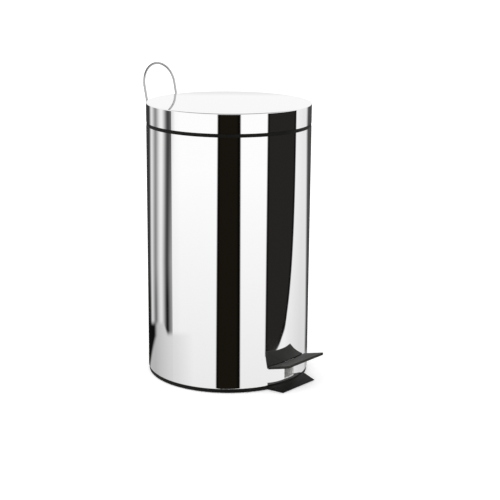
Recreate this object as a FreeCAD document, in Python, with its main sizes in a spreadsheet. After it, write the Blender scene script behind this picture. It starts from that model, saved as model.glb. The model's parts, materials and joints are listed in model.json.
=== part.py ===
"""Round twelve-litre pedal bin: steel body and lid, pedal mechanism, carrying handle and inner bucket.

The origin is on the floor, on the body's axis. +Z is up, -Y is the pedal side and +Y is the hinge side.
"""
import FreeCAD
import Part
import os
import re
import Sketcher

doc = FreeCAD.newDocument("PedalBin")
sheet = doc.addObject("Spreadsheet::Sheet", "Sizes")

# Driving dimensions, in millimetres and degrees.
SIZES = {
    "body_radius": 125,
    "steel_wall": 0.8,
    "body_foot": 6,
    "body_lip": 117,
    "edge_round": 2,
    "lid_edge": 391.3,
    "seam_gap": 5.3,
    "lid_level": 420,
    "lid_crown": 1.5,
    "lid_corner": 1.2,
    "lid_hem": 119,
    "lid_notch": 402,
    "leaf_level": 396.6,
    "leaf_top": 417,
    "leaf_gap": 0.3,
    "leaf_room": 1,
    "leaf_rivet": 7,
    "leaf_rivet_level": 409,
    "buffer_radius": 1.6,
    "buffer_place": 120.2,
    "plate_radius": 122.8,
    "plate_thick": 1.2,
    "ring_radius": 124,
    "ring_bore": 108,
    "ring_lift": 0.8,
    "ring_screw": 114,
    "screw_depth": 3.2,
    "toe_back": 41.8,
    "toe_front": 37.7,
    "toe_reach": 144.3,
    "toe_edge": 1.6,
    "toe_root": 1.5,
    "sole_inner": 111,
    "sole_outer": 117,
    "sole_depth": 2,
    "rim_bore": 112.5,
    "rim_outer": 124.6,
    "rim_ledge": 386.4,
    "rim_skirt": 379,
    "rim_notch": 6,
    "rim_wall": 2,
    "seat_gap": 0.2,
    "landing_gap": 0.4,
    "hinge_back": 129.5,
    "hinge_level": 398,
    "hinge_barrel": 3.6,
    "hinge_pin_radius": 1.75,
    "running_gap": 0.06,
    "close_gap": 0.05,
    "side_gap": 0.1,
    "block_half": 29,
    "block_bottom": 358,
    "block_top": 386,
    "block_screw": 20,
    "block_screw_level": 372,
    "ear_inner": 13,
    "ear_outer": 18.5,
    "eye_inner": 22.5,
    "eye_outer": 28,
    "ear_root": 4,
    "pin_head": 1,
    "leaf_half": 12.5,
    "leaf_thick": 1.5,
    "crank_reach": 12,
    "crank_drop": 8.72,
    "crank_nose": 2.5,
    "crank_half": 4,
    "crank_tip": 1.3,
    "crank_root": 1.5,
    "rod_back": 116.1,
    "rod_radius": 2.5,
    "guide_half": 7,
    "guide_inner": 111.5,
    "guide_outer": 123.7,
    "guide_thick": 1.5,
    "guide_tall": 14,
    "guide_rivet": 9,
    "guide_low": 70,
    "guide_high": 331,
    "push_gap": 0.5,
    "pivot_level": 15,
    "pivot_radius": 2.5,
    "knuckle_radius": 4.5,
    "bracket_half": 9.5,
    "bracket_inner": 8,
    "bracket_length": 28,
    "bracket_top": 20,
    "bracket_ear": 6,
    "bracket_rivet": 10,
    "clip_radius": 4.5,
    "pin_end": 11.5,
    "clip_thick": 1,
    "clip_gap": 0.02,
    "lever_thick": 3,
    "lever_half": 7,
    "lever_level": 18.6,
    "lever_bend": 30,
    "lever_knee": 121,
    "lever_back": 121,
    "pad_slope": 0.27,
    "pad_root": 33.2,
    "pad_thick": 4,
    "pad_back": 42.9,
    "pad_front": 42,
    "pad_reach": 157.2,
    "pad_gap": 1.2,
    "pad_shoe": 11,
    "pad_overlap": 15,
    "shoe_back": 128.5,
    "shoe_wall": 1.5,
    "lever_tip": 138,
    "slot_half": 11,
    "slot_low": 11,
    "slot_high": 39,
    "liner_edge": 2,
    "liner_depth": 20,
    "liner_lip": 1,
    "liner_turn": 12.2,
    "bucket_top": 109.5,
    "bucket_base": 104,
    "bucket_floor": 45,
    "bucket_wall": 1.5,
    "flange_radius": 115.2,
    "flange_thick": 2,
    "flange_notch": 8,
    "flange_cut": 110.8,
    "bail_wire": 1.5,
    "bail_radius": 108.5,
    "bail_level": 392.5,
    "bail_bend": 3,
    "bail_eye": 112,
    "bail_ear": 3,
    "bail_end": 117,
    "handle_wire": 1.75,
    "handle_half": 33.2,
    "handle_tall": 72,
    "handle_bend": 4.5,
    "handle_end": 21.6,
    "handle_crank": 9.1,
    "handle_lean": 12.4,
    "shank_radius": 1.5,
    "shank_hole": 1.6,
    "head_radius": 3,
    "head_tall": 1.2,
    "screw_deep": 3,
    "screw_bite": 8,
    "rivet_grip": 4,
}
for row, (alias, number) in enumerate(SIZES.items(), start=1):
    sheet.set(f"A{row}", alias)
    sheet.set(f"B{row}", str(number))
    sheet.setAlias(f"B{row}", alias)
doc.recompute()

# Levels and radii that follow from the driving dimensions.
BODY_TOP = "(lid_edge - seam_gap)"
BODY_INNER = "(body_radius - steel_wall)"
PLATE_TOP = "(body_foot + steel_wall + plate_thick)"
SLOPE_LENGTH = "sqrt(1 + pad_slope ^ 2)"
LEVER_RISE = f"(lever_thick / 2 * {SLOPE_LENGTH})"
FULL_TURN = 360
THROUGH = "1000"
CUT_MARGIN = "1"
ARC_HALFWAY = "0.75"
CROWNED = "crowned"


def bound(text):
    """Text with every sheet alias written as a reference to the sheet."""
    return re.sub(r"\b[a-z]+(?:_[a-z]+)+\b", lambda found: "Sizes." + found.group(0), str(text))


def value(text):
    """Number that an expression of sheet aliases gives now."""
    return float(sheet.evalExpression(bound(text)))


def new_body(label):
    """Empty body that holds one piece of the bin."""
    body = doc.addObject("PartDesign::Body", label)
    body.Label = label
    return body


def new_sketch(body, plane, shift=None):
    """Empty sketch on one of the body's origin planes, shifted along the plane's normal."""
    sketch = body.newObject("Sketcher::SketchObject", "Sketch")
    origin_plane = next(item for item in body.Origin.OriginFeatures if item.Role == plane + "_Plane")
    sketch.AttachmentSupport = [(origin_plane, "")]
    sketch.MapMode = "FlatFace"
    if shift is not None:
        sketch.setExpression("AttachmentOffset.Base.z", bound(shift))
    return sketch


def pin_down(sketch, index, end, across, up):
    """Hold one end of a sketch element at two sheet expressions."""
    for kind, text in (("DistanceX", across), ("DistanceY", up)):
        item = sketch.addConstraint(Sketcher.Constraint(kind, -1, 1, index, end, value(text)))
        sketch.setExpression(f"Constraints[{item}]", bound(text))


def add_outline(sketch, corners, closed=True):
    """Chain of sides through the corners. A corner with a third entry starts an arc through that point.

    A fourth entry of CROWNED says that the arc's centre is on the bin's axis.
    """
    points = [FreeCAD.Vector(value(corner[0]), value(corner[1]), 0) for corner in corners]
    sides = len(corners) if closed else len(corners) - 1
    last = None
    for side in range(sides):
        start = points[side]
        finish = points[(side + 1) % len(points)]
        if len(corners[side]) > 2:
            through = corners[side][2]
            middle = FreeCAD.Vector(value(through[0]), value(through[1]), 0)
            forward = (middle - start).cross(finish - middle).z > 0
            ends = (start, finish) if forward else (finish, start)
            index = sketch.addGeometry(Part.Arc(ends[0], middle, ends[1]))
            if corners[side][-1] == CROWNED:
                sketch.addConstraint(Sketcher.Constraint("PointOnObject", index, 3, -2))
            else:
                mark = sketch.addGeometry(Part.Point(middle), True)
                sketch.addConstraint(Sketcher.Constraint("PointOnObject", mark, 1, index))
                pin_down(sketch, mark, 1, *through)
        else:
            index = sketch.addGeometry(Part.LineSegment(start, finish))
            forward = True
        begin, end = (1, 2) if forward else (2, 1)
        pin_down(sketch, index, begin, corners[side][0], corners[side][1])
        if last is None:
            first = (index, begin)
        else:
            sketch.addConstraint(Sketcher.Constraint("Coincident", *last, index, begin))
        last = (index, end)
    if closed:
        sketch.addConstraint(Sketcher.Constraint("Coincident", *last, *first))
    else:
        pin_down(sketch, *last, corners[-1][0], corners[-1][1])


def add_rectangle(sketch, low_across, low_up, high_across, high_up):
    """Rectangle between two opposite corners."""
    add_outline(sketch, [
        (low_across, low_up),
        (high_across, low_up),
        (high_across, high_up),
        (low_across, high_up),
    ])


def add_circle(sketch, across, up, radius):
    """Circle about a point."""
    centre = FreeCAD.Vector(value(across), value(up), 0)
    index = sketch.addGeometry(Part.Circle(centre, FreeCAD.Vector(0, 0, 1), value(radius)))
    pin_down(sketch, index, 3, across, up)
    item = sketch.addConstraint(Sketcher.Constraint("Radius", index, value(radius)))
    sketch.setExpression(f"Constraints[{item}]", bound(radius))


def feature(body, kind, sketch, length, symmetric=False, backwards=False):
    """Pad or Pocket of a sketch."""
    item = body.newObject("PartDesign::" + kind, kind)
    item.Profile = sketch
    item.SideType = "Symmetric" if symmetric else "One side"
    item.Reversed = backwards
    item.setExpression("Length", bound(length))
    doc.recompute()
    return item


def pad(body, sketch, length, symmetric=False, backwards=False):
    """Solid raised from a sketch."""
    return feature(body, "Pad", sketch, length, symmetric, backwards)


def pocket(body, sketch, length, symmetric=False, backwards=False):
    """Cut that must remove material."""
    before = body.Shape.Volume
    item = feature(body, "Pocket", sketch, length, symmetric, backwards)
    if body.Shape.Volume >= before:
        raise RuntimeError(f"{body.Label}: a pocket cuts nothing")
    return item


def revolve(body, corners, plane="XZ", turn=FULL_TURN):
    """Turn about the bin's axis of an outline of radii and heights, even on both sides of its plane."""
    sketch = new_sketch(body, plane)
    add_outline(sketch, corners)
    item = body.newObject("PartDesign::Revolution", "Revolution")
    item.Profile = sketch
    item.ReferenceAxis = (sketch, ["V_Axis"])
    item.Midplane = True
    item.setExpression("Angle", bound(turn))
    doc.recompute()


def annulus(body, inner, outer, low, high):
    """Flat ring or short tube."""
    revolve(body, [(inner, low), (outer, low), (outer, high), (inner, high)])


def box_cut(body, plane, low_across, low_up, high_across, high_up, depth, shift=None, backwards=False):
    """Rectangular cut, symmetric about its plane unless it is shifted."""
    sketch = new_sketch(body, plane, shift)
    add_rectangle(sketch, low_across, low_up, high_across, high_up)
    pocket(body, sketch, depth, symmetric=shift is None, backwards=backwards)


def bore_along_x(body, back, level, radius):
    """Round hole right through along X."""
    sketch = new_sketch(body, "YZ")
    add_circle(sketch, back, level, radius)
    pocket(body, sketch, THROUGH, symmetric=True)


def bores_along_y(body, places, radius, shift, depth):
    """Round holes that run towards +Y from a plane at the given distance behind the axis."""
    sketch = new_sketch(body, "XZ", f"-({shift})")
    for across, level in places:
        add_circle(sketch, across, level, radius)
    pocket(body, sketch, depth, backwards=False)


def bores_along_z(body, places, radius):
    """Round holes right through along Z."""
    sketch = new_sketch(body, "XY")
    for across, back in places:
        add_circle(sketch, across, back, radius)
    pocket(body, sketch, THROUGH, symmetric=True)


def sweep_wire(body, path, start_plane, start_shift, start_at, radius):
    """Round wire along a smooth open path."""
    section = new_sketch(body, start_plane, start_shift)
    add_circle(section, start_at[0], start_at[1], radius)
    wire = body.newObject("PartDesign::AdditivePipe", "Wire")
    wire.Profile = section
    wire.Spine = path
    doc.recompute()


def pads_along_x(body, low, thick, draw):
    """Pad of whatever draw puts in a YZ sketch, from low towards +X."""
    sketch = new_sketch(body, "YZ", low)
    draw(sketch)
    pad(body, sketch, thick)


def fasteners_along_z(label, places, seat, shank):
    """Screws or rivets with heads above their seat and shanks below it."""
    body = new_body(label)
    for radius, length, below in (("head_radius", "head_tall", False), ("shank_radius", shank, True)):
        sketch = new_sketch(body, "XY", seat)
        for across, back in places:
            add_circle(sketch, across, back, radius)
        pad(body, sketch, length, backwards=below)


def fasteners_along_y(label, places, seat, shank):
    """Screws or rivets with heads behind their seat and shanks in front of it."""
    body = new_body(label)
    for radius, length, behind in (("head_radius", "head_tall", True), ("shank_radius", shank, False)):
        sketch = new_sketch(body, "XZ", f"-({seat})")
        for across, level in places:
            add_circle(sketch, across, level, radius)
        pad(body, sketch, length, backwards=behind)


def both_sides(across, level):
    """A place and its mirror image in the bin's middle plane."""
    return [(across, level), (f"-({across})", level)]


# Where the fasteners go. The middle of a quarter turn is DIAGONAL of the radius along each axis.
DIAGONAL = 0.7071
BASE_SCREWS = [
    (f"{side} * ring_screw * {DIAGONAL}", f"{end} * ring_screw * {DIAGONAL}")
    for side in (-1, 1) for end in (-1, 1)
]
BRACKET_RIVETS = [("0", "bracket_rivet"), ("0", "-bracket_rivet")]
BLOCK_SCREWS = both_sides("block_screw", "block_screw_level")
LEAF_RIVETS = both_sides("leaf_rivet", "leaf_rivet_level")
GUIDE_RIVETS = [("0", "guide_low + guide_rivet"), ("0", "guide_high + guide_rivet")]
WALL_CUT = "50"
BEHIND = f"(body_radius - {WALL_CUT} / 2)"


def make_body_shell():
    """Rolled steel tube with a rounded, turned-in foot, the lever's slot and the fastener holes."""
    body = new_body("body_shell")
    middle = "body_radius - edge_round"
    inside = "(edge_round - steel_wall)"
    revolve(body, [
        ("body_radius", "body_foot + edge_round"),
        ("body_radius", BODY_TOP),
        (BODY_INNER, BODY_TOP),
        (BODY_INNER, "body_foot + edge_round", (
            f"{middle} + {inside} * {DIAGONAL}",
            f"body_foot + edge_round - {inside} * {DIAGONAL}",
        )),
        (middle, "body_foot + steel_wall"),
        ("body_lip", "body_foot + steel_wall"),
        ("body_lip", "body_foot"),
        (middle, "body_foot", (
            f"{middle} + edge_round * {DIAGONAL}",
            f"body_foot + edge_round - edge_round * {DIAGONAL}",
        )),
    ])
    box_cut(body, "XZ", "-slot_half", "slot_low", "slot_half", "slot_high", WALL_CUT, BEHIND, backwards=True)
    bores_along_y(body, BLOCK_SCREWS + GUIDE_RIVETS, "shank_hole", BEHIND, WALL_CUT)


def make_base_plate():
    """Steel disc that closes the bottom and carries the lever's bracket."""
    body = new_body("base_plate")
    revolve(body, [
        ("0", "body_foot + steel_wall"),
        ("plate_radius", "body_foot + steel_wall"),
        ("plate_radius", PLATE_TOP),
        ("0", PLATE_TOP),
    ])
    bores_along_z(body, BASE_SCREWS + BRACKET_RIVETS, "shank_hole")


def make_base_ring():
    """Black plastic ring under the body, with the toe plate that keeps the bin from tipping forward."""
    body = new_body("base_ring")
    revolve(body, [
        ("ring_bore", "ring_lift"),
        ("sole_inner", "ring_lift"),
        ("sole_inner", "sole_depth"),
        ("sole_outer", "sole_depth"),
        ("sole_outer", "ring_lift"),
        ("ring_radius", "ring_lift"),
        ("ring_radius", "body_foot"),
        ("ring_bore", "body_foot"),
    ])
    root = "(ring_radius - toe_root)"
    root_back = f"-sqrt({root} ^ 2 - toe_back ^ 2)"
    plan = new_sketch(body, "XY", "ring_lift")
    add_outline(plan, [
        ("toe_back", root_back, ("0", f"-{root}")),
        ("-toe_back", root_back),
        ("-toe_front", "-toe_reach"),
        ("toe_front", "-toe_reach"),
    ])
    pad(body, plan, "body_foot - ring_lift")
    slope = new_sketch(body, "YZ")
    add_outline(slope, [
        ("-ring_radius", "body_foot"),
        ("-toe_reach", "toe_edge"),
        (f"-toe_reach - {CUT_MARGIN}", "toe_edge"),
        (f"-toe_reach - {CUT_MARGIN}", f"body_foot + {CUT_MARGIN}"),
        ("-ring_radius", f"body_foot + {CUT_MARGIN}"),
    ])
    pocket(body, slope, THROUGH, symmetric=True)
    holes = new_sketch(body, "XY", "body_foot")
    for across, back in BASE_SCREWS:
        add_circle(holes, across, back, "shank_hole")
    pocket(body, holes, "screw_depth")


def make_slot_liner():
    """Pale plastic mouthpiece behind the slot, which keeps the lever off the steel."""
    body = new_body("slot_liner")
    outer = f"-({BODY_INNER} - close_gap)"
    low = f"{PLATE_TOP} + seat_gap"
    revolve(body, [
        (outer, low),
        (f"{outer} + liner_depth", low),
        (f"{outer} + liner_depth", "slot_high + liner_edge"),
        (outer, "slot_high + liner_edge"),
    ], plane="YZ", turn="liner_turn")
    box_cut(body, "XZ", "liner_lip - slot_half", "slot_low + liner_lip",
            "slot_half - liner_lip", "slot_high - liner_lip", WALL_CUT, BEHIND, backwards=True)


def make_rim_ring():
    """Black plastic ring on the body's top edge: the seam under the lid and the bucket's ledge."""
    body = new_body("rim_ring")
    neck = f"{BODY_INNER} - rim_wall"
    outer = f"{BODY_INNER} - close_gap"
    crest = "lid_edge - landing_gap"
    revolve(body, [
        ("rim_bore", "rim_ledge - rim_wall"),
        (neck, "rim_ledge - rim_wall"),
        (neck, "rim_skirt"),
        (outer, "rim_skirt"),
        (outer, BODY_TOP),
        ("rim_outer", BODY_TOP),
        ("rim_outer", crest),
        (neck, crest),
        (neck, "rim_ledge"),
        ("rim_bore", "rim_ledge"),
    ])
    plan = new_sketch(body, "XY")
    add_rectangle(plan, "-rim_notch", BEHIND, "rim_notch", f"body_radius + {CUT_MARGIN}")
    pocket(body, plan, THROUGH, symmetric=True)


def make_hinge_block():
    """Black plastic block behind the body, with two hinge ears and two handle eyes."""
    body = new_body("hinge_block")
    plan = new_sketch(body, "XY", "block_bottom")
    add_rectangle(plan, "-block_half", BEHIND, "block_half", "hinge_back + hinge_barrel")
    pad(body, plan, "block_top - block_bottom")
    seat = new_sketch(body, "XY")
    add_circle(seat, "0", "0", "body_radius + close_gap")
    pocket(body, seat, THROUGH, symmetric=True)
    ears = new_sketch(body, "YZ")
    add_outline(ears, [
        ("hinge_back - hinge_barrel", "block_top - ear_root"),
        ("hinge_back + hinge_barrel", "block_top - ear_root"),
        ("hinge_back + hinge_barrel", "hinge_level", ("hinge_back", "hinge_level + hinge_barrel")),
        ("hinge_back - hinge_barrel", "hinge_level"),
    ])
    pad(body, ears, "2 * eye_outer", symmetric=True)
    gaps = new_sketch(body, "XZ")
    for low, high in (("-ear_inner", "ear_inner"), ("ear_outer", "eye_inner"), ("-eye_inner", "-ear_outer")):
        add_rectangle(gaps, low, "block_top", high, "hinge_level + 2 * hinge_barrel")
    pocket(body, gaps, THROUGH, symmetric=True)
    bore_along_x(body, "hinge_back", "hinge_level", "hinge_pin_radius + running_gap")
    bores_along_y(body, BLOCK_SCREWS, "shank_hole", BEHIND, WALL_CUT)


def make_hinge_pin():
    """Steel pin through the block's two hinge ears, headed at both ends."""
    body = new_body("hinge_pin")
    section = new_sketch(body, "YZ")
    add_circle(section, "hinge_back", "hinge_level", "hinge_pin_radius")
    pad(body, section, "2 * (ear_outer + side_gap)", symmetric=True)
    for low in ("ear_outer + side_gap", "-ear_outer - side_gap - head_tall"):
        pads_along_x(body, low, "head_tall", lambda sketch: add_circle(
            sketch, "hinge_back", "hinge_level", "hinge_pin_radius + pin_head"))


def make_lever_bracket():
    """Folded steel bracket on the base plate whose two ears hold the lever's pin."""
    body = new_body("lever_bracket")
    fold = new_sketch(body, "XZ")
    base = f"{PLATE_TOP} + guide_thick"
    add_outline(fold, [
        ("-bracket_half", PLATE_TOP),
        ("bracket_half", PLATE_TOP),
        ("bracket_half", "bracket_top"),
        ("bracket_inner", "bracket_top"),
        ("bracket_inner", base),
        ("-bracket_inner", base),
        ("-bracket_inner", "bracket_top"),
        ("-bracket_half", "bracket_top"),
    ])
    pad(body, fold, "bracket_length", symmetric=True)
    ends = new_sketch(body, "YZ")
    add_rectangle(ends, "bracket_ear", base, "bracket_length", f"bracket_top + {CUT_MARGIN}")
    add_rectangle(ends, "-bracket_length", base, "-bracket_ear", f"bracket_top + {CUT_MARGIN}")
    pocket(body, ends, THROUGH, symmetric=True)
    bore_along_x(body, "0", "pivot_level", "pivot_radius + running_gap")
    bores_along_z(body, BRACKET_RIVETS, "shank_hole")


def make_lever_pin():
    """Steel pin that the lever rocks on."""
    body = new_body("lever_pin")
    section = new_sketch(body, "YZ")
    add_circle(section, "0", "pivot_level", "pivot_radius")
    pad(body, section, "2 * pin_end", symmetric=True)


def make_pin_clips():
    """Two retaining rings on the lever's pin, outside the bracket."""
    body = new_body("pin_clips")

    def ring(sketch):
        add_circle(sketch, "0", "pivot_level", "clip_radius")
        add_circle(sketch, "0", "pivot_level", "pivot_radius + clip_gap")

    for low in ("bracket_half + side_gap", "-bracket_half - side_gap - clip_thick"):
        pads_along_x(body, low, "clip_thick", ring)


def make_rod_guide(label, level):
    """Steel angle riveted inside the body's back, with a hole for the push rod."""
    body = new_body(label)
    angle = new_sketch(body, "YZ")
    add_outline(angle, [
        ("guide_inner", level),
        ("guide_outer", level),
        ("guide_outer", f"{level} + guide_tall"),
        ("guide_outer - guide_thick", f"{level} + guide_tall"),
        ("guide_outer - guide_thick", f"{level} + guide_thick"),
        ("guide_inner", f"{level} + guide_thick"),
    ])
    pad(body, angle, "2 * guide_half", symmetric=True)
    bores_along_z(body, [("0", "rod_back")], "rod_radius + running_gap")
    bores_along_y(body, [("0", f"{level} + guide_rivet")], "shank_hole", BEHIND, WALL_CUT)


def make_lid_shell():
    """Pressed steel lid: a slightly crowned top, a rounded corner, a straight skirt and a turned-in hem."""
    body = new_body("lid_shell")
    corner = "body_radius - lid_corner"
    inner_round = "(lid_corner - steel_wall)"
    crown = "lid_level + lid_crown"
    half_way = "(body_radius - lid_corner) / 2"
    crown_there = f"lid_level + lid_crown * {ARC_HALFWAY}"
    revolve(body, [
        ("0", crown, (half_way, crown_there), CROWNED),
        (corner, "lid_level", (f"{corner} + lid_corner * {DIAGONAL}",
                               f"lid_level - lid_corner + lid_corner * {DIAGONAL}")),
        ("body_radius", "lid_level - lid_corner"),
        ("body_radius", "lid_edge"),
        ("lid_hem", "lid_edge"),
        ("lid_hem", "lid_edge + steel_wall"),
        (BODY_INNER, "lid_edge + steel_wall"),
        (BODY_INNER, "lid_level - lid_corner", (f"{corner} + {inner_round} * {DIAGONAL}",
                                                f"lid_level - lid_corner + {inner_round} * {DIAGONAL}")),
        (corner, "lid_level - steel_wall", (half_way, f"{crown_there} - steel_wall"), CROWNED),
        ("0", f"{crown} - steel_wall"),
    ])
    box_cut(body, "XZ", "-leaf_half - leaf_room", "lid_edge - leaf_room",
            "leaf_half + leaf_room", "lid_notch", WALL_CUT, f"-{BEHIND}")
    bores_along_y(body, LEAF_RIVETS, "shank_hole", BEHIND, WALL_CUT)


def make_lid_hinge_plate():
    """Steel leaf inside the lid's skirt, with the barrel round the hinge pin and the arm the rod pushes."""
    body = new_body("lid_hinge_plate")
    leg_back = "(guide_outer - leaf_gap)"
    leg_front = f"({leg_back} - leaf_thick)"
    leaf = new_sketch(body, "YZ")
    add_outline(leaf, [
        (leg_front, "leaf_level"),
        ("hinge_back", "leaf_level"),
        ("hinge_back", "leaf_level + leaf_thick"),
        (leg_back, "leaf_level + leaf_thick"),
        (leg_back, "leaf_top"),
        (leg_front, "leaf_top"),
    ])
    pad(body, leaf, "2 * leaf_half", symmetric=True)
    barrel = new_sketch(body, "YZ")
    add_circle(barrel, "hinge_back", "hinge_level", "hinge_barrel")
    pad(body, barrel, "2 * leaf_half", symmetric=True)
    nose_back = "(hinge_back - crank_reach)"
    nose_level = "(hinge_level - crank_drop)"
    arm = new_sketch(body, "YZ")
    add_outline(arm, [
        (f"{nose_back} - crank_tip", nose_level),
        (f"{nose_back} + crank_tip", nose_level),
        (leg_back, "leaf_level"),
        (leg_back, "leaf_level + leaf_thick"),
        (f"{leg_front} - crank_root", "leaf_level + leaf_thick"),
    ])
    pad(body, arm, "2 * crank_half", symmetric=True)
    nose = new_sketch(body, "YZ")
    add_circle(nose, nose_back, nose_level, "crank_nose")
    pad(body, nose, "2 * crank_half", symmetric=True)
    bore_along_x(body, "hinge_back", "hinge_level", "hinge_pin_radius + running_gap")
    bores_along_y(body, LEAF_RIVETS, "shank_hole", BEHIND, WALL_CUT)


def make_lid_buffers():
    """Three rubber pegs under the lid's hem, which land on the rim ring's ledge."""
    body = new_body("lid_buffers")
    pegs = new_sketch(body, "XY", "lid_edge")
    for turn in ("-90 deg", "30 deg", "150 deg"):
        add_circle(pegs, f"cos({turn}) * buffer_place", f"sin({turn}) * buffer_place", "buffer_radius")
    pad(body, pegs, "lid_edge - rim_ledge - landing_gap", backwards=True)


def slant(forward, offset):
    """Height of a line parallel to the pad's slope, above a distance in front of the axis."""
    return f"pad_root + ({forward} - body_radius) * pad_slope + {offset}"


def make_pedal_lever():
    """Steel strip from the push rod to the pedal pad, bent up in front, that rocks on the bracket's pin."""
    body = new_body("pedal_lever")
    top = "(lever_level + lever_thick / 2)"
    low = "(lever_level - lever_thick / 2)"
    strip = new_sketch(body, "YZ")
    add_outline(strip, [
        ("lever_back", low),
        ("lever_back", top),
        ("-lever_bend", top),
        ("-lever_knee", slant("lever_knee", LEVER_RISE)),
        ("-lever_tip", slant("lever_tip", LEVER_RISE)),
        ("-lever_tip", slant("lever_tip", f"-{LEVER_RISE}")),
        ("-lever_knee", slant("lever_knee", f"-{LEVER_RISE}")),
        ("-lever_bend", low),
    ])
    pad(body, strip, "2 * lever_half", symmetric=True)
    knuckle = new_sketch(body, "YZ")
    add_circle(knuckle, "0", "pivot_level", "knuckle_radius")
    pad(body, knuckle, "2 * lever_half", symmetric=True)
    bore_along_x(body, "0", "pivot_level", "pivot_radius + running_gap")


def make_pedal_pad():
    """Black plastic tread with a shoe underneath that is pushed over the lever's end."""
    body = new_body("pedal_pad")
    tread_low = LEVER_RISE
    tread_top = f"({LEVER_RISE} + pad_thick * {SLOPE_LENGTH})"
    shoe_low = f"-({LEVER_RISE} + shoe_wall)"
    back = "(body_radius - pad_overlap)"
    tread = new_sketch(body, "YZ")
    add_outline(tread, [
        (f"-{back}", slant(back, tread_low)),
        (f"-{back}", slant(back, tread_top)),
        ("-pad_reach", slant("pad_reach", tread_top)),
        ("-pad_reach", slant("pad_reach", tread_low)),
    ])
    pad(body, tread, "2 * pad_back", symmetric=True)
    shoe = new_sketch(body, "YZ")
    shoe_front = "(lever_tip + shoe_wall)"
    add_outline(shoe, [
        ("-shoe_back", slant("shoe_back", shoe_low)),
        ("-shoe_back", slant("shoe_back", tread_top)),
        (f"-{shoe_front}", slant(shoe_front, tread_top)),
        (f"-{shoe_front}", slant(shoe_front, shoe_low)),
    ])
    pad(body, shoe, "2 * pad_shoe", symmetric=True)
    socket = new_sketch(body, "YZ")
    add_outline(socket, [
        (f"-{back}", slant(back, f"-{LEVER_RISE}")),
        (f"-{back}", slant(back, LEVER_RISE)),
        ("-lever_tip", slant("lever_tip", LEVER_RISE)),
        ("-lever_tip", slant("lever_tip", f"-{LEVER_RISE}")),
    ])
    pocket(body, socket, "2 * lever_half", symmetric=True)
    plan = new_sketch(body, "XY")
    add_circle(plan, "0", "0", "body_radius + pad_gap")
    pocket(body, plan, THROUGH, symmetric=True)
    sides = new_sketch(body, "XY")
    for side in ("", "-"):
        add_outline(sides, [
            (f"{side}pad_back", f"-{back}"),
            (f"{side}pad_front", "-pad_reach"),
            (f"{side}pad_front", f"-pad_reach - {CUT_MARGIN}"),
            (f"{side}(pad_back + {CUT_MARGIN})", f"-pad_reach - {CUT_MARGIN}"),
            (f"{side}(pad_back + {CUT_MARGIN})", f"-{back}"),
        ])
    pocket(body, sides, THROUGH, symmetric=True)


def make_push_rod():
    """Steel rod that stands on the lever's back end and lifts the lid's arm."""
    body = new_body("push_rod")
    low = "(lever_level + lever_thick / 2 + push_gap)"
    section = new_sketch(body, "XY", low)
    add_circle(section, "0", "rod_back", "rod_radius")
    pad(body, section, f"hinge_level - crank_drop - crank_nose - push_gap - {low}")


def make_inner_bucket():
    """Black plastic bucket that hangs by its flange and has two ears for its bail."""
    body = new_body("inner_bucket")
    flange_low = "(rim_ledge + seat_gap)"
    flange_top = f"({flange_low} + flange_thick)"
    ear_top = f"{flange_top} - flange_thick / 4"
    revolve(body, [
        ("0", "bucket_floor"),
        ("bucket_base", "bucket_floor"),
        ("bucket_top", flange_low),
        ("flange_radius", flange_low),
        ("flange_radius", flange_top),
        ("bucket_top - bucket_wall", flange_top),
        ("bucket_base - bucket_wall", "bucket_floor + bucket_wall"),
        ("0", "bucket_floor + bucket_wall"),
    ])
    notch = new_sketch(body, "XY")
    add_rectangle(notch, "-flange_notch", "flange_cut", "flange_notch", "body_radius")
    pocket(body, notch, THROUGH, symmetric=True)

    def ear(sketch):
        add_outline(sketch, [
            ("-bail_end + bail_eye", ear_top),
            ("bail_end - bail_eye", ear_top),
            ("bail_end - bail_eye", "bail_level", ("0", "bail_level + bail_end - bail_eye")),
            ("-bail_end + bail_eye", "bail_level"),
        ])

    for low in ("bail_eye", "-bail_eye - bail_ear"):
        pads_along_x(body, low, "bail_ear", ear)
    bore_along_x(body, "0", "bail_level", "bail_wire + running_gap")


def make_bucket_bail():
    """Steel wire bail, folded down over the front of the bucket's rim."""
    body = new_body("bucket_bail")
    path = new_sketch(body, "XY", "bail_level")
    turn_in = "(bail_radius + bail_bend)"
    bend_across = f"{turn_in} - bail_bend * {DIAGONAL}"
    bend_back = f"bail_bend * {DIAGONAL} - bail_bend"
    add_outline(path, [
        ("bail_end", "0"),
        (turn_in, "0", (bend_across, bend_back)),
        ("bail_radius", "-bail_bend", ("0", "-bail_radius - bail_bend")),
        ("-bail_radius", "-bail_bend", (f"-({bend_across})", bend_back)),
        (f"-{turn_in}", "0"),
        ("-bail_end", "0"),
    ], closed=False)
    sweep_wire(body, path, "YZ", "bail_end", ("0", "bail_level"), "bail_wire")


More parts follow.
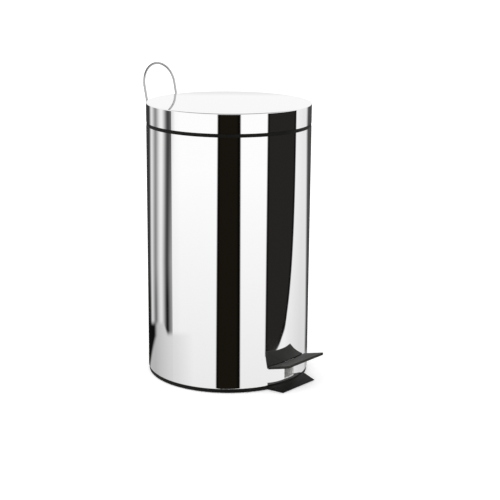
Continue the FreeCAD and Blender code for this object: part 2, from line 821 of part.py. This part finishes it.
def make_carry_handle():
    """Steel wire loop, cranked back behind the lid, whose turned-in ends pivot in the hinge block's eyes."""
    body = new_body("carry_handle")
    shoulder = "handle_tall - handle_half"
    short = f"handle_bend * {DIAGONAL}"
    long = "handle_bend"
    loop = new_sketch(body, "XZ", "-handle_crank")
    add_outline(loop, [
        ("handle_half", long),
        ("handle_half", shoulder, ("0", "handle_tall")),
        ("-handle_half", shoulder),
        ("-handle_half", long),
    ], closed=False)
    sweep_wire(body, loop, "XY", long, ("handle_half", "handle_crank"), "handle_wire")
    for side in ("", "-"):
        end = new_sketch(body, "XY")
        add_outline(end, [
            (f"{side}handle_end", "0"),
            (f"{side}(handle_half - {long})", "0", (
                f"{side}(handle_half - {long} + {short})",
                f"{long} - {short}",
            )),
            (f"{side}handle_half", long),
        ], closed=False)
        sweep_wire(body, end, "YZ", f"{side}handle_end", ("0", "0"), "handle_wire")
        elbow = new_sketch(body, "YZ", f"{side}handle_half")
        add_outline(elbow, [
            (f"handle_crank - {long}", "0", (f"handle_crank - {long} + {short}", f"{long} - {short}")),
            ("handle_crank", long),
        ], closed=False)
        sweep_wire(body, elbow, "XZ", f"{long} - handle_crank", (f"{side}handle_half", "0"), "handle_wire")
        link = new_sketch(body, "XZ", f"{long} - handle_crank")
        add_circle(link, f"{side}handle_half", "0", "handle_wire")
        pad(body, link, f"handle_crank - 2 * {long}")
    body.Placement = FreeCAD.Placement(
        FreeCAD.Vector(0, value("hinge_back"), value("hinge_level")),
        FreeCAD.Rotation(FreeCAD.Vector(-1, 0, 0), value("handle_lean")),
    )


make_body_shell()
make_base_plate()
make_base_ring()
annulus(new_body("rubber_sole_ring"), "sole_inner", "sole_outer", "0", "sole_depth")
make_slot_liner()
make_rim_ring()
make_hinge_block()
make_hinge_pin()
make_lever_bracket()
make_lever_pin()
make_pin_clips()
make_rod_guide("lower_rod_guide", "guide_low")
make_rod_guide("upper_rod_guide", "guide_high")
fasteners_along_z("base_screws", BASE_SCREWS, PLATE_TOP, "plate_thick + screw_deep")
fasteners_along_z(
    "bracket_rivets", BRACKET_RIVETS, f"{PLATE_TOP} + guide_thick", "plate_thick + 2 * guide_thick",
)
fasteners_along_y("hinge_screws", BLOCK_SCREWS, "hinge_back + hinge_barrel", "hinge_barrel + screw_bite")
fasteners_along_y("guide_rivets", GUIDE_RIVETS, "body_radius", "rivet_grip")
make_lid_shell()
make_lid_hinge_plate()
make_lid_buffers()
fasteners_along_y("lid_rivets", LEAF_RIVETS, "body_radius", "rivet_grip")
make_pedal_lever()
make_pedal_pad()
make_push_rod()
make_inner_bucket()
make_bucket_bail()
make_carry_handle()

doc.recompute()
failed = [item.Label for item in doc.Objects if "Invalid" in item.State or "Error" in item.State]
pieces = [item for item in doc.Objects if item.TypeId == "PartDesign::Body"]
failed += [item.Label for item in pieces if item.Shape.isNull() or not item.Shape.isValid()]
if failed:
    raise RuntimeError("these did not build: " + ", ".join(failed))
os.makedirs("parts", exist_ok=True)
for piece in pieces:
    piece.Shape.exportStep(f"parts/{piece.Label}.step")
    print(piece.Label, len(piece.Shape.Solids), round(piece.Shape.Volume, 1))
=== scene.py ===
import json
import math

import bmesh
import bpy
from mathutils import Matrix, Vector


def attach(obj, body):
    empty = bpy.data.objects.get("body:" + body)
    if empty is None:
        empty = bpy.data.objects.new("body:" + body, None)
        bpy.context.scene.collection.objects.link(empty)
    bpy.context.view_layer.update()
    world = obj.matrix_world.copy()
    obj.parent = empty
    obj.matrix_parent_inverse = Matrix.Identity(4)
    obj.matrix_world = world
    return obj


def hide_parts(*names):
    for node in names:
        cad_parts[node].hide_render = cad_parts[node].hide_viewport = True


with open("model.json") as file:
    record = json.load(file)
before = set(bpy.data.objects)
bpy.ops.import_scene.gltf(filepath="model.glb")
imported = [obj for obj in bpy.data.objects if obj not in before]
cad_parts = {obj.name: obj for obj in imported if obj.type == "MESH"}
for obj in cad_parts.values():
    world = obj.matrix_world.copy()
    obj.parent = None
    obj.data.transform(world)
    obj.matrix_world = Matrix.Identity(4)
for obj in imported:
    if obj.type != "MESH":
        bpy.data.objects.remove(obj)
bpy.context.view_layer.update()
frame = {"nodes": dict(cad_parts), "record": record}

MM = 0.001
NODES = frame["nodes"]


# ---------------------------------------------------------------- node trees

class Tree:
    """Short ways to add and link the nodes of one node tree."""

    def __init__(self, tree):
        self.tree = tree
        tree.nodes.clear()

    def add(self, kind, settings=None, **inputs):
        node = self.tree.nodes.new(kind)
        for name, setting in (settings or {}).items():
            setattr(node, name, setting)
        for name, source in inputs.items():
            self.feed(node, name.replace("_", " "), source)
        return node

    def feed(self, node, name, source):
        """Give an input, found by its name or number, a value or another node's output."""
        socket = node.inputs[int(name[1:])] if name[0] == "n" and name[1:].isdigit() else node.inputs[name]
        if isinstance(source, bpy.types.NodeSocket):
            self.tree.links.new(source, socket)
        else:
            socket.default_value = source

    def math(self, operation, *values):
        node = self.add("ShaderNodeMath", {"operation": operation})
        for number, value in enumerate(values):
            self.feed(node, f"n{number}", value)
        return node.outputs[0]

    def step(self, value, low, high, start=0.0, end=1.0):
        """Smooth step from start to end as the value goes from low to high."""
        node = self.add("ShaderNodeMapRange", {"interpolation_type": "SMOOTHSTEP"})
        for number, item in enumerate((value, low, high, start, end)):
            self.feed(node, f"n{number}", item)
        return node.outputs[0]

    def line(self, value, low, high, start=0.0, end=1.0):
        """Straight ramp from start to end as the value goes from low to high."""
        node = self.add("ShaderNodeMapRange")
        for number, item in enumerate((value, low, high, start, end)):
            self.feed(node, f"n{number}", item)
        return node.outputs[0]

    def blend(self, factor, first, second):
        """Number between two numbers."""
        node = self.add("ShaderNodeMix", {"data_type": "FLOAT"})
        for number, item in ((0, factor), (2, first), (3, second)):
            self.feed(node, f"n{number}", item)
        return node.outputs[0]

    def colours(self, factor, first, second, operation="MIX"):
        """Colour between two colours."""
        node = self.add("ShaderNodeMix", {"data_type": "RGBA", "blend_type": operation})
        for number, item in ((0, factor), (6, first), (7, second)):
            self.feed(node, f"n{number}", item)
        return node.outputs[2]


def linear(screen):
    """Linear light of a screen grey between 0 and 255."""
    share = screen / 255
    return share / 12.92 if share < 0.04045 else ((share + 0.055) / 1.055) ** 2.4


# ---------------------------------------------------------------- camera

CAMERA_SIDE = math.radians(48.3)      # from the pedal side towards the left, about the axis
CAMERA_DISTANCE = 1.916
CAMERA_HEIGHT = 0.684
CAMERA_TURN = math.radians(1.0)
CAMERA_PITCH = math.radians(14.47)
CAMERA_ROLL = math.radians(0.48)
CAMERA_LENS = 91.8


def make_camera():
    data = bpy.data.cameras.new("camera")
    data.lens = CAMERA_LENS
    data.sensor_width = 36
    data.clip_end = 200
    camera = bpy.data.objects.new("camera", data)
    turn = Matrix.Rotation(-(CAMERA_SIDE + CAMERA_TURN), 4, "Z")
    tilt = Matrix.Rotation(math.pi / 2 - CAMERA_PITCH, 4, "X")
    roll = Matrix.Rotation(CAMERA_ROLL, 4, "Z")
    place = Vector((
        -CAMERA_DISTANCE * math.sin(CAMERA_SIDE),
        -CAMERA_DISTANCE * math.cos(CAMERA_SIDE),
        CAMERA_HEIGHT,
    ))
    camera.matrix_world = Matrix.Translation(place) @ turn @ tilt @ roll
    bpy.context.scene.collection.objects.link(camera)
    bpy.context.scene.camera = camera


# ---------------------------------------------------------------- studio

# The studio is a white room with dark upright cards and a grey ceiling. Turns are in degrees about the
# bin's axis, from the camera's side towards the right; dips are degrees below the horizon.
WHITE = 1.1
CARD_SOFTNESS = 1.2
BROWN_BLACK = (1.25, 1.0, 0.66)
WARM_BLACK = (1.08, 1.0, 0.93)


def add_card(tree, room, turn, left, right, greys, tint):
    """Hang a dark card with soft edges in front of the room, between two turns."""
    middle, rim = greys
    from_left = tree.math("SUBTRACT", turn, left)
    to_right = tree.math("SUBTRACT", right, turn)
    inside = tree.math("MULTIPLY", tree.step(from_left, -CARD_SOFTNESS, CARD_SOFTNESS),
                       tree.step(to_right, -CARD_SOFTNESS, CARD_SOFTNESS))
    core = tree.math("MULTIPLY", tree.step(from_left, 1.5, 4.5), tree.step(to_right, 1.5, 6.0))
    grey = tree.blend(core, linear(rim), linear(middle))
    return tree.colours(inside, room, tree.colours(1.0, (*tint, 1), grey, "MULTIPLY"))


# Three dark cards stand side by side on the left. Each has a left and a right edge, a softness, and a
# screen grey high up and low down.
FAR_CARD = (-200, -140, 6, 55, 35)
MIDDLE_CARD = (-128, -116, 9, 110, 75)
NEAR_CARD = (-100, -85, 7, 65, 30)


def add_shade(tree, room, turn, low, card):
    """Hang a soft plain card in front of the room, shaded from its high grey to its low one."""
    left, right, softness, high_grey, low_grey = card
    from_left = tree.step(turn, left - softness, left + softness)
    to_right = tree.step(turn, right - softness, right + softness, 1.0, 0.0)
    grey = tree.blend(low, linear(high_grey), linear(low_grey))
    return tree.blend(tree.math("MULTIPLY", from_left, to_right), room, grey)


def left_walls(tree, turn, dip):
    """The white wall to the left with its three leaning cards, which stop at a pale floor."""
    lean = tree.math("ADD", turn, tree.line(dip, 9.0, 15.0, 0.0, 4.0))
    low = tree.step(dip, 15.0, 17.0)
    walls = tree.line(turn, -130.0, -70.0, linear(225), linear(250))
    for card in (FAR_CARD, MIDDLE_CARD, NEAR_CARD):
        walls = add_shade(tree, walls, lean, low, card)
    floor = tree.line(turn, -130.0, -50.0, linear(190), linear(250))
    limb = tree.line(dip, 18.3, 19.8, -127.0, -160.0)
    floor = tree.blend(tree.step(tree.math("SUBTRACT", turn, limb), -7.0, 7.0), linear(16), floor)
    foot = tree.step(turn, -108.0, -95.0, 17.7, 18.2)
    return tree.blend(tree.step(tree.math("SUBTRACT", dip, foot), -0.12, 0.18), walls, floor)


def right_wall(tree, turn, dip):
    """The pale wall to the right, a little greyer further round, and dark at its far end."""
    wall = tree.line(turn, 90.0, 125.0, linear(245), linear(228))
    far = tree.math("SUBTRACT", turn, tree.line(dip, 9.0, 17.5, 139.0, 149.0))
    end = tree.step(dip, 18.7, 19.5, linear(72), linear(185))
    return tree.blend(tree.step(far, -6.0, 5.0), wall, end)


def make_world():
    world = bpy.data.worlds.new("studio")
    world.use_nodes = True
    bpy.context.scene.world = world
    tree = Tree(world.node_tree)
    direction = tree.add("ShaderNodeTexCoord").outputs["Generated"]
    mapping = tree.add("ShaderNodeMapping", Vector=direction, Rotation=(0, 0, CAMERA_SIDE))
    parts = tree.add("ShaderNodeSeparateXYZ", Vector=mapping.outputs[0])
    back = tree.math("MULTIPLY", parts.outputs["Y"], -1.0)
    turn = tree.math("DEGREES", tree.math("ARCTAN2", parts.outputs["X"], back))
    dip = tree.math("MULTIPLY", tree.math("DEGREES", tree.math("ARCSINE", parts.outputs["Z"])), -1.0)

    room = tree.blend(tree.step(turn, 85.0, 95.0), left_walls(tree, turn, dip), right_wall(tree, turn, dip))
    room = tree.math("MULTIPLY", room, tree.line(dip, 11.0, 20.5, 1.0, 0.84))

    # the broad card straight in front of the bin
    left = tree.line(dip, 8.6, 20.3, -15.3, -17.0)
    right = tree.line(dip, 8.6, 20.3, 15.9, 17.1)
    room = add_card(tree, room, turn, left, right, (20, 6), BROWN_BLACK)

    # the round-footed card to the right
    drop = tree.line(dip, 8.8, 19.25)
    swell = tree.math("POWER", tree.math("SUBTRACT", 1.0, tree.math("POWER", drop, 2.9)), 1 / 2.9)
    right = tree.math("ADD", tree.math("MULTIPLY", swell, 57.0), 49.2)
    room = add_card(tree, room, turn, 54.3, right, (35, 10), WARM_BLACK)

    # above the horizon: a pale band, white walls and a grey ceiling
    rise = tree.math("MULTIPLY", dip, -1.0)
    walls = tree.step(rise, 5.3, 6.3, linear(229), linear(242))
    sky = tree.blend(tree.step(rise, 33.0, 54.0), walls, linear(82))
    level = tree.colours(tree.step(dip, 4.0, -1.0), room, sky)
    level = tree.colours(1.0, level, (WHITE, WHITE, WHITE, 1), "MULTIPLY")
    camera_ray = tree.add("ShaderNodeLightPath").outputs["Is Camera Ray"]
    shade = tree.add("ShaderNodeBackground", Color=tree.colours(camera_ray, level, (1, 1, 1, 1)))
    tree.add("ShaderNodeOutputWorld", Surface=shade.outputs[0])


def make_soft_light():
    """Very soft light from high on the left, for the floor and the plastics. It isn't seen in the steel."""
    data = bpy.data.lights.new("softbox", "SUN")
    data.angle = math.radians(120)
    data.energy = 1.95
    light = bpy.data.objects.new("softbox", data)
    light.rotation_euler = (math.radians(18), math.radians(-12), -CAMERA_SIDE)
    light.visible_glossy = False
    bpy.context.scene.collection.objects.link(light)


FLOOR_GLOW = 0.25


def make_floor():
    bpy.ops.mesh.primitive_plane_add(size=120, location=(0, 0, -0.0002))
    floor = bpy.context.object
    floor.name = "floor"
    floor.visible_glossy = False
    material = bpy.data.materials.new("pale_floor")
    material.use_nodes = True
    tree = Tree(material.node_tree)
    shader = tree.add("ShaderNodeBsdfPrincipled", Base_Color=(0.97, 0.97, 0.97, 1), Roughness=0.9)
    tree.feed(shader, "Specular IOR Level", 0.0)
    tree.feed(shader, "Emission Color", (1, 1, 1, 1))
    tree.feed(shader, "Emission Strength", FLOOR_GLOW)
    tree.add("ShaderNodeOutputMaterial", Surface=shader.outputs[0])
    floor.data.materials.append(material)


# ---------------------------------------------------------------- materials

def new_material(name):
    material = bpy.data.materials.new(name)
    material.use_nodes = True
    tree = Tree(material.node_tree)
    shader = tree.add("ShaderNodeBsdfPrincipled")
    tree.add("ShaderNodeOutputMaterial", Surface=shader.outputs[0])
    return material, tree, shader


def place_noise(tree, scale, detail=2.0, stretch=(1, 1, 1)):
    """Noise in the object's own space."""
    place = tree.add("ShaderNodeTexCoord").outputs["Object"]
    mapping = tree.add("ShaderNodeMapping", Vector=place, Scale=stretch)
    return tree.add("ShaderNodeTexNoise", Vector=mapping.outputs[0], Scale=scale, Detail=detail).outputs[0]


def polished_steel(name, tint=0.93, rough=0.018):
    """Mirror-polished sheet: faint haze in patches and hair-fine upright polishing lines."""
    material, tree, shader = new_material(name)
    tree.feed(shader, "Base Color", (tint, tint, tint, 1))
    tree.feed(shader, "Metallic", 1.0)
    haze = tree.line(place_noise(tree, 40.0, 4.0), 0.35, 0.7, rough * 0.7, rough * 1.3)
    lines = tree.step(place_noise(tree, 900.0, 2.0, (1, 1, 0.02)), 0.6, 0.8, 0.0, rough * 0.6)
    tree.feed(shader, "Roughness", tree.math("ADD", haze, lines))
    return material


def plain_steel(name):
    """Zinc-plated steel of the parts inside, with its cloudy bloom and fine rolling lines."""
    material, tree, shader = new_material(name)
    cloud = place_noise(tree, 90.0, 5.0)
    tree.feed(shader, "Base Color", tree.colours(cloud, (0.45, 0.46, 0.47, 1), (0.66, 0.66, 0.65, 1)))
    tree.feed(shader, "Metallic", 1.0)
    tree.feed(shader, "Roughness", tree.line(cloud, 0.3, 0.7, 0.28, 0.42))
    rolling = place_noise(tree, 700.0, 3.0, (1, 0.04, 1))
    bump = tree.add("ShaderNodeBump", Height=rolling, Strength=0.12, Distance=0.0001)
    tree.feed(shader, "Normal", bump.outputs[0])
    return material


def moulded_plastic(name, dark, light, rough=0.5, grain=0.15, shine=0.25, scuffs=0.5):
    """Injection-moulded plastic with a fine spark-eroded grain and faint scuffs."""
    material, tree, shader = new_material(name)
    cloud = place_noise(tree, 25.0, 3.0)
    worn = tree.step(place_noise(tree, 150.0, 6.0, (1, 0.25, 1)), 0.62, 0.72, 0.0, scuffs)
    plain = tree.colours(cloud, (*dark, 1), (*light, 1))
    rubbed = tuple(min(1.0, level * 1.5 + 0.004) for level in light)
    tree.feed(shader, "Base Color", tree.colours(worn, plain, (*rubbed, 1)))
    softer = tree.line(cloud, 0.3, 0.7, rough - 0.06, rough + 0.06)
    tree.feed(shader, "Roughness", tree.math("SUBTRACT", softer, tree.math("MULTIPLY", worn, 0.12)))
    tree.feed(shader, "Specular IOR Level", shine)
    fine = place_noise(tree, 2200.0, 2.0)
    bump = tree.add("ShaderNodeBump", Height=fine, Strength=grain, Distance=0.0002)
    tree.feed(shader, "Normal", bump.outputs[0])
    return material


MATERIALS = {
    "body_steel": polished_steel("body_steel_finish"),
    "lid_steel": polished_steel("lid_steel_finish"),
    "wire_steel": polished_steel("wire_steel_finish", 0.5, 0.09),
    "plate_steel": plain_steel("plate_steel_finish"),
    "black_plastic": moulded_plastic(
        "black_plastic_finish", (0.002, 0.002, 0.0015), (0.0045, 0.0045, 0.0035), shine=0.14,
    ),
    "tread_plastic": moulded_plastic(
        "tread_plastic_finish", (0.009, 0.0095, 0.0075), (0.014, 0.0145, 0.0115),
    ),
    "bucket_plastic": moulded_plastic(
        "bucket_plastic_finish", (0.01, 0.01, 0.011), (0.018, 0.018, 0.02), 0.4,
    ),
    "pale_plastic": moulded_plastic(
        "pale_plastic_finish", (0.76, 0.76, 0.74), (0.84, 0.84, 0.82), 0.45, 0.1,
    ),
    "soft_rubber": moulded_plastic("soft_rubber_finish", (0.01, 0.01, 0.01), (0.016, 0.016, 0.016), 0.75),
}


def dress_frame():
    """Give every CAD node the finish of its material slot."""
    for part in frame["record"]["subparts"]:
        mesh = NODES[part["node"]].data
        mesh.materials.clear()
        mesh.materials.append(MATERIALS[part["material_slot"]])


# ---------------------------------------------------------------- shapes

SOFT_EDGES = {
    "hinge_block": 0.5, "pedal_pad": 0.7, "base_ring": 0.4, "slot_liner": 0.3, "inner_bucket": 0.4,
    "lower_rod_guide": 0.15, "upper_rod_guide": 0.15, "pedal_lever": 0.25, "lever_bracket": 0.2,
    "lid_hinge_plate": 0.2, "push_rod": 0.3, "hinge_pin": 0.3, "lid_buffers": 0.4, "bracket_rivets": 0.2,
}


def soften_edges():
    """Round the sharp edges that a moulding or a worn edge doesn't have."""
    for node, width in SOFT_EDGES.items():
        obj = NODES[node]
        weld = obj.modifiers.new("joined_corners", "WELD")
        weld.merge_threshold = 0.000001
        bevel = obj.modifiers.new("soft_edges", "BEVEL")
        bevel.limit_method = "ANGLE"
        bevel.angle_limit = math.radians(50)
        bevel.width = width * MM
        bevel.segments = 3
        bevel.use_clamp_overlap = True
        bevel.harden_normals = True


def new_piece(name, mesh, body, slot):
    """Add a finished mesh to the scene as a piece that rides on a body."""
    for face in mesh.faces:
        face.smooth = True
    data = bpy.data.meshes.new(name)
    bmesh.ops.recalc_face_normals(mesh, faces=mesh.faces)
    mesh.to_mesh(data)
    mesh.free()
    data.set_sharp_from_angle(angle=math.radians(35))
    data.materials.append(MATERIALS[slot])
    piece = bpy.data.objects.new(name, data)
    bpy.context.scene.collection.objects.link(piece)
    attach(piece, body)
    return piece


def skin_rings(mesh, rings, closed=True):
    """Quads between one ring of corners and the next."""
    corners = [[mesh.verts.new(place) for place in ring] for ring in rings]
    for first, second in zip(corners, corners[1:]):
        count = len(first)
        for number in range(count if closed else count - 1):
            after = (number + 1) % count
            mesh.faces.new((first[number], first[after], second[after], second[number]))
    return corners


HEAD_SIDES = 64
HEAD_STEPS = 20
HEAD_RADIUS = 3.0 * MM
HEAD_RISE = 1.2 * MM
SHANK_RADIUS = 1.5 * MM
CROSS_WIDTH = 0.42 * MM
CROSS_REACH = 1.75 * MM
CROSS_DEPTH = 0.75 * MM
UPWARD = Matrix.Identity(4)
BACKWARD = Matrix.Rotation(math.radians(-90), 4, "X")


def add_fastener(mesh, place, length, recess):
    """Domed head, with a cross recess on a screw, and its shank. Its seat is at its own origin."""
    def height(x, y, radius):
        near, far = sorted((abs(x), abs(y)))
        deep = CROSS_DEPTH if recess and near < CROSS_WIDTH and far < CROSS_REACH else 0.0
        return HEAD_RISE * (1 - 0.45 * (radius / HEAD_RADIUS) ** 2.5) - deep

    def ring(radius, level=None):
        corners = []
        for number in range(HEAD_SIDES):
            angle = 2 * math.pi * (number + 0.5) / HEAD_SIDES
            x, y = radius * math.cos(angle), radius * math.sin(angle)
            corners.append(place @ Vector((x, y, height(x, y, radius) if level is None else level)))
        return corners

    rings = [ring(HEAD_RADIUS * step / HEAD_STEPS) for step in range(1, HEAD_STEPS + 1)]
    rings += [ring(HEAD_RADIUS, 0.0), ring(SHANK_RADIUS, 0.0), ring(SHANK_RADIUS, -length)]
    corners = skin_rings(mesh, rings)
    mesh.faces.new(corners[0])
    mesh.faces.new(list(reversed(corners[-1])))


def make_fasteners(name, seats, aim, length, body, recess=False):
    """One piece of equal screws or rivets that stands for the CAD node of the same name."""
    mesh = bmesh.new()
    for number, seat in enumerate(seats):
        spin = Matrix.Rotation(math.radians(23 + 37 * number), 4, "Z")
        add_fastener(mesh, Matrix.Translation(Vector(seat) * MM) @ aim @ spin, length * MM, recess)
    piece = new_piece(f"{name}_domed", mesh, body, "plate_steel")
    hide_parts(name)


SEAM_TURN = math.radians(13)
SEAM_WIDTH = 1.1 * MM
SEAM_RISE = 0.1 * MM
SEAM_LOW = 9 * MM
SEAM_HIGH = 384 * MM
BODY_RADIUS = 125 * MM


def make_weld_seam():
    """Laser-welded seam up the back of the rolled body: a low bead with fine ripples."""
    mesh = bmesh.new()
    profile = [(-1.0, -0.3), (-0.75, 0.3), (-0.4, 0.8), (0.0, 1.0), (0.4, 0.8), (0.75, 0.3), (1.0, -0.3)]
    rings = []
    steps = 500
    for step in range(steps + 1):
        level = SEAM_LOW + (SEAM_HIGH - SEAM_LOW) * step / steps
        ripple = 0.85 + 0.15 * math.cos(step * 2.1)
        ring = []
        for across, up in profile:
            angle = SEAM_TURN + across * SEAM_WIDTH / 2 / BODY_RADIUS
            radius = BODY_RADIUS + SEAM_RISE * up * ripple
            ring.append((-radius * math.sin(angle), radius * math.cos(angle), level))
        rings.append(ring)
    skin_rings(mesh, rings)
    new_piece("body_weld_seam", mesh, "bin", "body_steel")


# The fasteners' seats and shanks, in millimetres, where the CAD nodes have them.
RING_SCREW = 80.61
PLATE_TOP = 8.0
RING_SHANK = 4.2
BLOCK_SCREW = 20.0
BLOCK_BACK = 133.1
BLOCK_SCREW_LEVEL = 372.0
BLOCK_SHANK = 11.6
GUIDE_RIVET_LEVELS = (79.0, 340.0)
LEAF_RIVET = 7.0
LEAF_RIVET_LEVEL = 409.0
WALL_BACK = 125.0
RIVET_SHANK = 4.0


def make_details():
    soften_edges()
    ring_seats = [(side * RING_SCREW, end * RING_SCREW, PLATE_TOP) for side in (-1, 1) for end in (-1, 1)]
    make_fasteners("base_screws", ring_seats, UPWARD, RING_SHANK, "bin", recess=True)
    block_seats = [(side * BLOCK_SCREW, BLOCK_BACK, BLOCK_SCREW_LEVEL) for side in (-1, 1)]
    make_fasteners("hinge_screws", block_seats, BACKWARD, BLOCK_SHANK, "bin", recess=True)
    guide_seats = [(0.0, WALL_BACK, level) for level in GUIDE_RIVET_LEVELS]
    make_fasteners("guide_rivets", guide_seats, BACKWARD, RIVET_SHANK, "bin")
    leaf_seats = [(side * LEAF_RIVET, WALL_BACK, LEAF_RIVET_LEVEL) for side in (-1, 1)]
    make_fasteners("lid_rivets", leaf_seats, BACKWARD, RIVET_SHANK, "lid")
    make_weld_seam()


make_camera()
make_world()
make_soft_light()
make_floor()
dress_frame()
make_details()
bpy.context.scene.view_settings.view_transform = "Standard"

bpy.context.view_layer.update()
